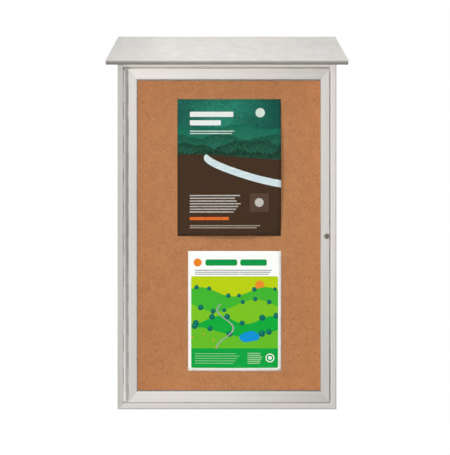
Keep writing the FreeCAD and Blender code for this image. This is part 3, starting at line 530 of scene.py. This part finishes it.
class Page(Paint):
    """A printed sheet's material, with its face measured in millimetres from the lower left corner."""

    def __init__(self, name, width, height):
        super().__init__(name, roughness=0.5, specular_ior_level=0.12)
        self.wide = width * MM_PER_M
        self.tall = height * MM_PER_M
        point = self.add("UVMap")
        self.across, self.up = (self.add("SeparateXYZ", {0: point}, output=n) for n in (0, 1))
        self.across *= self.wide
        self.up *= self.tall
        self.spot = self.add("CombineXYZ", {0: self.across, 1: self.up})
        self.ink = (1, 1, 1)

    def fill(self, mask, colour):
        """Prints a colour where the mask is one."""
        self.ink = self.mix(mask, self.ink, colour)

    def box(self, left, bottom, right, top, corner=0.0):
        """One inside a rectangle with rounded corners."""
        wide = (self.across - (left + right) / 2).size() - ((right - left) / 2 - corner)
        tall = (self.up - (bottom + top) / 2).size() - ((top - bottom) / 2 - corner)
        wide = wide.either(0.0)
        tall = tall.either(0.0)
        return (wide * wide + tall * tall).math("SQRT") < max(corner, 0.001)

    def disc(self, x, y, radius):
        """One inside a circle."""
        wide = self.across - x
        tall = self.up - y
        return (wide * wide + tall * tall) < radius * radius

    def chance(self, column, row=0.0):
        """A random value from zero to one for each pair of numbers."""
        cell = self.add("CombineXYZ", {0: column, 1: row})
        return self.add("TexWhiteNoise", {"Vector": cell}, noise_dimensions="3D")

    def rows(self, left, bottom, right, top, count, share=0.5, ragged=0.25):
        """Rows of small broken bars, in place of lines of text.

        A bar fills that share of its row's height, and its right end falls short at random, by
        up to the share ragged of the rows' width.
        """
        row = (self.up - bottom) / ((top - bottom) / count)
        bar = (row.fraction() < share) * self.box(left, bottom, right, top)
        short = self.chance(row.floor() * ROW_PICK) * (ragged * (right - left))
        words = self.add("CombineXYZ", {0: self.across * WORDS_PER_MM, 1: row.floor() * ROW_STEP})
        printed = self.noise(words, detail=0, rough=0.5) > WORD_GAP
        return bar * (self.across < (short * -1.0 + right)) * printed

    def wave(self, field, length, height, phase=0.0):
        """A wave along a field, as high as its height on either side of zero."""
        return (field * (2 * math.pi / length) + phase).math("SINE") * height

    def firs(self, width, height, seed):
        """A row of pointed tree tops, each a width across and up to a height tall."""
        fir = self.across / width + 0.37 * seed
        tip = self.chance(fir.floor(), 3.1 * seed) * 0.7 + 0.3
        return ((fir.fraction() - 0.5).size() * -2.0 + 1.0) * tip * height

    def done(self):
        """Feeds the print to the shader, with the paper's own faint tooth."""
        tooth = self.noise(self.spot, rough=0.7, scale=2.5)
        self.set(base_color=self.ink)
        self.bump(tooth, 0.00005, 0.4)
        return self.material


def paper_sheet(name, node, page, bow):
    """A thin sheet that lies on the cork and stands off it a little at its right and lower edges."""
    low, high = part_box(node)
    width = high.x - low.x
    height = high.z - low.z
    own_ripple = RIPPLE_START + bow * RIPPLE_STEP
    points = []
    for j in range(SHEET_ROWS + 1):
        for i in range(SHEET_COLUMNS + 1):
            u = i / SHEET_COLUMNS
            v = j / SHEET_ROWS
            ripple = noise.noise(Vector((u * RIPPLES_ACROSS, v * RIPPLES_UP, own_ripple)))
            lift = bow * (u ** 4 * math.sin(math.pi * v) + (1 - v) ** 4 * math.sin(math.pi * u))
            lift += max(ripple * RIPPLE_HEIGHT, 0)
            points.append((low.x + u * width, high.y - SHEET_GAP - lift, low.z + v * height))
    across = SHEET_COLUMNS + 1
    faces = []
    for j in range(SHEET_ROWS):
        for i in range(SHEET_COLUMNS):
            first = j * across + i
            faces.append((first, first + 1, first + across + 1, first + across))
    mesh = bpy.data.meshes.new(name)
    mesh.from_pydata(points, [], faces)
    layer = mesh.uv_layers.new(name="page")
    for loop in mesh.loops:
        row, column = divmod(loop.vertex_index, across)
        layer.data[loop.index].uv = (column / SHEET_COLUMNS, row / SHEET_ROWS)
    for polygon in mesh.polygons:
        polygon.use_smooth = True
    mesh.materials.append(page)
    piece = bpy.data.objects.new(name, mesh)
    bpy.context.scene.collection.objects.link(piece)
    thickness = piece.modifiers.new("thickness", "SOLIDIFY")
    thickness.thickness = SHEET_THICKNESS
    thickness.offset = 1
    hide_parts(node)
    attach(piece, "case")
    return piece


def staples(name, node, metal):
    """A wire staple in each corner of a sheet, none of them quite level."""
    low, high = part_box(node)
    middle = (low.z + high.z) / 2
    half = STAPLE_CROWN / 2
    bend = 2 * STAPLE_WIRE
    inwards = Vector((0, STAPLE_LEG, 0))
    turn = inwards.normalized() * bend
    curve = bpy.data.curves.new(name, "CURVE")
    curve.dimensions = "3D"
    curve.bevel_depth = STAPLE_WIRE / 2
    curve.bevel_resolution = 2
    for x, z in ((x, z) for x in (low.x + STAPLE_INSET, high.x - STAPLE_INSET) for z in (low.z, high.z)):
        centre = Vector((x, low.y - STAPLE_WIRE, z + math.copysign(STAPLE_INSET, middle - z)))
        tilt = math.radians(random.uniform(-STAPLE_TILT, STAPLE_TILT))
        along = Vector((math.cos(tilt), 0, math.sin(tilt)))
        path = [
            centre - along * half + inwards,
            centre - along * half + turn,
            centre - along * (half - bend),
            centre + along * (half - bend),
            centre + along * half + turn,
            centre + along * half + inwards,
        ]
        spline = curve.splines.new("POLY")
        spline.points.add(len(path) - 1)
        for point, place in zip(spline.points, path):
            point.co = (*place, 1)
    pattern = bpy.data.objects.new(name + "_path", curve)
    bpy.context.scene.collection.objects.link(pattern)
    bpy.context.view_layer.update()
    mesh = bpy.data.meshes.new_from_object(pattern.evaluated_get(bpy.context.evaluated_depsgraph_get()))
    bpy.data.objects.remove(pattern)
    mesh.name = name
    mesh.materials.append(metal)
    piece = bpy.data.objects.new(name, mesh)
    bpy.context.scene.collection.objects.link(piece)
    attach(piece, "case")


def poster_print(width, height):
    """Wooded ridges in green mist over dark ground with a pale river, and pale bars for text."""
    page = Page("poster_print", width, height)
    wide = page.wide
    tall = page.tall
    leaves = page.noise(page.spot, detail=6, rough=0.8, scale=0.10)
    haze = page.noise(page.spot, detail=2, scale=0.011)
    sky = page.mottle(haze, (0.0, 0.085, 0.062), (0.01, 0.23, 0.155))
    page.ink = page.mix(page.ramp(leaves, 0.40, 0.75), sky, (0.04, 0.31, 0.20))
    sides = page.ramp((page.across - wide * 0.42).size(), wide * 0.12, wide * 0.5, 0.0, 0.85)
    page.ink = page.mix(sides, page.ink, (0.0, 0.06, 0.045))
    bright_leaves = page.ramp(leaves, 0.45, 0.8, 0.0, 0.55)
    greens = [(0.0, 0.135, 0.085), (0.0, 0.075, 0.05), (0.0, 0.035, 0.024), (0.0, 0.016, 0.011)]
    for n, green in enumerate(greens):
        firs = page.firs(5.0 + 2.5 * n, 4.0 + 3.0 * n, seed=n)
        along = page.add("CombineXYZ", {0: page.across * (0.008 + 0.003 * n), 1: 3.7 * n})
        ridge = page.noise(along, rough=0.45) * 70.0 + firs + (tall * (0.79 - 0.062 * n) - 35)
        below = ridge - page.up
        mist = (0.01, 0.17 - 0.035 * n, 0.11 - 0.022 * n)
        misty = page.mix(page.ramp(below, 2.0, 42.0), green, mist)
        page.fill(below > 0.0, page.mix(bright_leaves, misty, (0.05, 0.26, 0.10)))
    ground = page.wave(page.across, wide * 1.7, 9.0, 0.9) + tall * 0.575
    soil = page.mix(page.ramp(leaves, 0.3, 0.8), (0.046, 0.020, 0.008), (0.062, 0.030, 0.013))
    page.fill(page.up < ground, soil)
    down = ground - page.up
    bend = down / (tall * 0.19)
    middle = bend * bend * (wide * 0.85) + wide * 0.28
    ripple = page.noise(page.add("CombineXYZ", {0: page.across * 0.02, 1: page.up * 0.35}), detail=2)
    water = page.mix(page.ramp(ripple, 0.4, 0.65), (0.84, 0.93, 0.95), (0.55, 0.72, 0.76))
    page.fill(((page.across - middle).size() < down * 0.9 + 3.0) * (down > 0.0), water)
    page.fill(page.disc(wide * 0.80, tall * 0.90, 15.0), (0.72, 0.86, 0.76))
    left = wide * 0.12
    heading = (0.93, 0.95, 0.94)
    page.fill(page.box(left, tall * 0.870, wide * 0.54, tall * 0.908, 2.5), heading)
    page.fill(page.box(left, tall * 0.808, wide * 0.42, tall * 0.846, 2.5), heading)
    page.fill(page.rows(left, tall * 0.745, wide * 0.60, tall * 0.779, 2, share=0.45), (0.70, 0.80, 0.74))
    pale = (0.60, 0.56, 0.52)
    page.fill(page.rows(left, tall * 0.17, wide * 0.62, tall * 0.31, 7, share=0.42), pale)
    orange = (0.85, 0.16, 0.02)
    page.fill(page.rows(left, tall * 0.115, wide * 0.50, tall * 0.14, 1, share=0.9, ragged=0.0), orange)
    page.fill(page.rows(left, tall * 0.055, wide * 0.88, tall * 0.085, 2), (0.40, 0.33, 0.28))
    page.fill(page.box(wide * 0.70, tall * 0.175, wide * 0.88, tall * 0.31, 4.0), (0.10, 0.052, 0.033))
    page.fill(page.disc(wide * 0.79, tall * 0.243, 14.0), pale)
    return page.done()


def flyer_print(width, height):
    """Rounded hills in lime and green with trees, a pond and a path, under a heading of bars."""
    page = Page("flyer_print", width, height)
    wide = page.wide
    tall = page.tall
    margin = 10
    indent = 22
    band_top = 73
    page.ink = (0.99, 0.99, 0.98)
    heading = (0.0, 0.31, 0.055)
    page.fill(page.disc(31, tall - 37, 13.0), (0.85, 0.23, 0.01))
    page.fill(page.box(56, tall - 47, 158, tall - 27, 6.0), heading)
    page.fill(page.box(168, tall - 47, wide - 46, tall - 27, 6.0), heading)
    page.fill(page.rows(indent, tall - 76, wide - indent, tall - 57, 3, ragged=0.12), (0.34, 0.34, 0.34))
    panel = page.box(margin, margin, wide - margin, tall - 81, 5.0)
    hills = [
        ((0.05, 0.46, 0.025), 0.66, 210.0, 15.0, 0.4),
        ((0.20, 0.55, 0.01), 0.545, 260.0, 20.0, 2.6),
        ((0.0, 0.40, 0.04), 0.425, 170.0, 13.0, 4.1),
        ((0.13, 0.51, 0.015), 0.325, 330.0, 16.0, 1.2),
    ]
    scene = page.mix(page.disc(wide * 0.77, tall * 0.715, 15.0), (0.50, 0.64, 0.0), (0.85, 0.26, 0.02))
    for n, (green, level, length, swell, phase) in enumerate(hills):
        skyline = page.wave(page.across, length, swell, phase) + tall * level
        scene = page.mix(page.up < skyline, scene, green)
        for k in range(6):
            x = wide * (0.09 + 0.165 * k) + random.uniform(-14, 14)
            root = tall * level + swell * math.sin(2 * math.pi * x / length + phase) - 4
            radius = random.uniform(5.5, 8.0) + n
            scene = page.mix(page.disc(x, root + radius * 0.7, radius), scene, (0.0, 0.12, 0.095))
            scene = page.mix(page.disc(x - 1.5, root + radius, radius * 0.5), scene, (0.0, 0.205, 0.13))
    middle = page.wave(page.up, 120.0, 26.0, 0.7) + wide * 0.40
    trail = ((page.across - middle).size() < 2.6) * (page.up < tall * 0.56)
    scene = page.mix(trail, scene, (0.37, 0.35, 0.37))
    across = (page.across - wide * 0.66) / 1.9
    up = page.up - (page.wave(page.across, 64.0, 2.5) + tall * 0.285)
    pond = (across * across + up * up) < 17.0 ** 2
    scene = page.mix(pond, scene, (0.0, 0.28, 0.69))
    scatter = {"Vector": page.spot, "Scale": 0.052, "Randomness": 0.85}
    blooms = page.add("TexVoronoi", scatter, output="Distance") < 0.17
    meadow = (page.up < tall * 0.31) * page.box(margin, band_top, wide * 0.36, tall * 0.5)
    scene = page.mix(blooms * meadow, scene, (0.86, 0.26, 0.02))
    page.fill(panel, scene)
    band = (0.0, 0.37, 0.05)
    badge = (0.95, 0.95, 0.94)
    page.fill(panel * page.box(margin, margin, wide - margin, band_top), band)
    page.fill(page.rows(indent, 24, wide * 0.56, 62, 5, share=0.28), (0.24, 0.54, 0.27))
    page.fill(page.rows(wide * 0.64, 24, wide * 0.80, 62, 6, share=0.35, ragged=0.3), (0.46, 0.66, 0.45))
    for radius, colour in ((14.0, badge), (11.0, band), (6.0, badge)):
        page.fill(page.disc(wide - 36, 42, radius), colour)
    return page.done()


key_blockers = bpy.data.collections.new("key_blockers")
for sheet_name, node_name, printed, bow in (
    ("poster", "poster_sheet", poster_print, POSTER_BOW),
    ("flyer", "flyer_sheet", flyer_print, FLYER_BOW),
):
    corner, far_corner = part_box(node_name)
    spread = far_corner - corner
    key_blockers.objects.link(paper_sheet(sheet_name, node_name, printed(spread.x, spread.z), bow))
    staples(sheet_name + "_staples", node_name, made["stainless_x"])


# Plugs in the cork over the wall bolts

def cork_plugs():
    """A cork disc in each access hole, a hair below the cork's face and eased at its rim."""
    low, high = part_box("cork_sheet")
    bolts = next(mount["dims"] for mount in frame["record"]["mounts"] if mount["name"] == "wall_bolts")
    half_x = bolts["spacing_x_mm"] / 2 / MM_PER_M
    half_z = bolts["spacing_y_mm"] / 2 / MM_PER_M
    face = low.y + PLUG_SUNK
    rings = [(PLUG_RADIUS - PLUG_EASE, face), (PLUG_RADIUS, face + PLUG_EASE), (PLUG_RADIUS, high.y)]
    points = []
    faces = []
    for x, z in ((x, z) for x in (-half_x, half_x) for z in (-half_z, half_z)):
        first = len(points)
        for radius, y in rings:
            for n in range(PLUG_SIDES):
                turn = 2 * math.pi * n / PLUG_SIDES
                points.append((x + radius * math.cos(turn), y, z + radius * math.sin(turn)))
        loops = [[first + ring * PLUG_SIDES + n for n in range(PLUG_SIDES)] for ring in range(len(rings))]
        faces.append(loops[0])
        faces.append(loops[-1][::-1])
        for front, back in zip(loops, loops[1:]):
            for n in range(PLUG_SIDES):
                faces.append((front[n], back[n], back[n - 1], front[n - 1]))
    mesh = bpy.data.meshes.new("cork_plugs")
    mesh.from_pydata(points, [], faces)
    mesh.materials.append(made["cork"])
    piece = bpy.data.objects.new("cork_plugs", mesh)
    bpy.context.scene.collection.objects.link(piece)
    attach(piece, "case")


cork_plugs()


# Stage, light and camera

def floor_material():
    """Pale floor, shaded under the object and going over to plain white away from it."""
    paint = Paint("floor", base_color=FLOOR_GREY, roughness=0.9)
    point = paint.add("TexCoord", output="Object")
    reach = paint.add("VectorMath", {0: point}, output="Value", operation="LENGTH")
    white = paint.add("Emission")
    paint.show(paint.over(paint.ramp(reach, FLOOR_SHADED_TO, FLOOR_WHITE_FROM), paint.surface, white))
    return paint.material


def make_floor():
    """A round floor well below the case, which hangs on a wall."""
    turn = 2 * math.pi / FLOOR_SIDES
    angles = [n * turn for n in range(FLOOR_SIDES)]
    rim = [(FLOOR_RADIUS * math.cos(angle), FLOOR_RADIUS * math.sin(angle), 0) for angle in angles]
    mesh = bpy.data.meshes.new("floor")
    mesh.from_pydata(rim, [], [tuple(range(FLOOR_SIDES))])
    mesh.materials.append(floor_material())
    floor = bpy.data.objects.new("floor", mesh)
    floor.location = (0, 0, FLOOR_Z)
    floor.visible_diffuse = False
    floor.visible_glossy = False
    bpy.context.scene.collection.objects.link(floor)


def make_world():
    """White surroundings that light the case softly, less from below.

    Polished faces mirror a pale room, brighter at the left.
    """
    world = bpy.data.worlds.new("studio")
    bpy.context.scene.world = world
    world.use_nodes = True
    world.node_tree.nodes.remove(world.node_tree.nodes["Background"])
    graph = Graph(world.node_tree)

    def background(strength):
        return graph.add("Background", {"Color": (1, 1, 1), "Strength": strength})

    def swap(ray, first, second):
        return graph.over(graph.add("LightPath", output=ray), first, second)

    across = graph.where(0, "Generated")
    up = graph.where(2, "Generated")
    lit = background(graph.ramp(up, -HORIZON_BLUR, HORIZON_BLUR, GROUND_LIGHT, SKY_LIGHT))
    mirrored = background(graph.ramp(across, -MIRROR_BLUR, MIRROR_BLUR, MIRROR_LEFT, MIRROR_RIGHT))
    shown = swap("Is Camera Ray", swap("Is Glossy Ray", lit, mirrored), background(1.0))
    feed(graph.tree, graph.tree.nodes["World Output"].inputs["Surface"], shown)


def softbox(name, place, size, power, blockers=None):
    """A square area light that faces the case and that polished faces don't mirror.

    Only the blockers, where given, cast its shadows.
    """
    light = bpy.data.lights.new(name, "AREA")
    light.size = size
    light.energy = power
    lamp = bpy.data.objects.new(name, light)
    lamp.location = place
    lamp.rotation_euler = (-Vector(place)).to_track_quat("-Z", "Y").to_euler()
    lamp.visible_glossy = False
    if blockers:
        lamp.light_linking.blocker_collection = blockers
    bpy.context.scene.collection.objects.link(lamp)


def front_lamp(name, power, lit=None):
    """A round lamp right behind the camera, as strong at the case's corners as at its middle.

    Only the pieces in lit, where given, get its light.
    """
    light = bpy.data.lights.new(name, "POINT")
    light.shadow_soft_size = FRONT_RADIUS
    light.energy = power
    light.use_nodes = True
    steady = Graph(light.node_tree).add("LightFalloff", {"Strength": 1.0}, output="Constant")
    feed(light.node_tree, light.node_tree.nodes["Emission"].inputs["Strength"], steady)
    lamp = bpy.data.objects.new(name, light)
    lamp.location = FRONT_PLACE
    if lit:
        lamp.light_linking.receiver_collection = lit
    lamp.visible_camera = False
    lamp.visible_glossy = False
    bpy.context.scene.collection.objects.link(lamp)


def make_camera():
    """The camera, level and square to the case, at the photograph's distance."""
    camera = bpy.data.cameras.new("camera")
    camera.lens = LENS
    camera.sensor_width = SENSOR
    holder = bpy.data.objects.new("camera", camera)
    holder.location = CAMERA_PLACE
    holder.rotation_euler = (math.radians(90), 0, 0)
    bpy.context.scene.collection.objects.link(holder)
    bpy.context.scene.camera = holder


make_floor()
make_world()
front_lamp("front", FRONT_POWER)
bright_paper = bpy.data.collections.new("bright_paper")
bright_paper.objects.link(bpy.data.objects["flyer"])
front_lamp("flyer_fill", FLYER_POWER, lit=bright_paper)
key_blockers.objects.link(nodes["door_stile_lock"])
softbox("key", KEY_PLACE, KEY_SIZE, KEY_POWER, blockers=key_blockers)
softbox("back", BACK_PLACE, BACK_SIZE, BACK_POWER)
make_camera()
bpy.context.scene.view_settings.view_transform = "Standard"
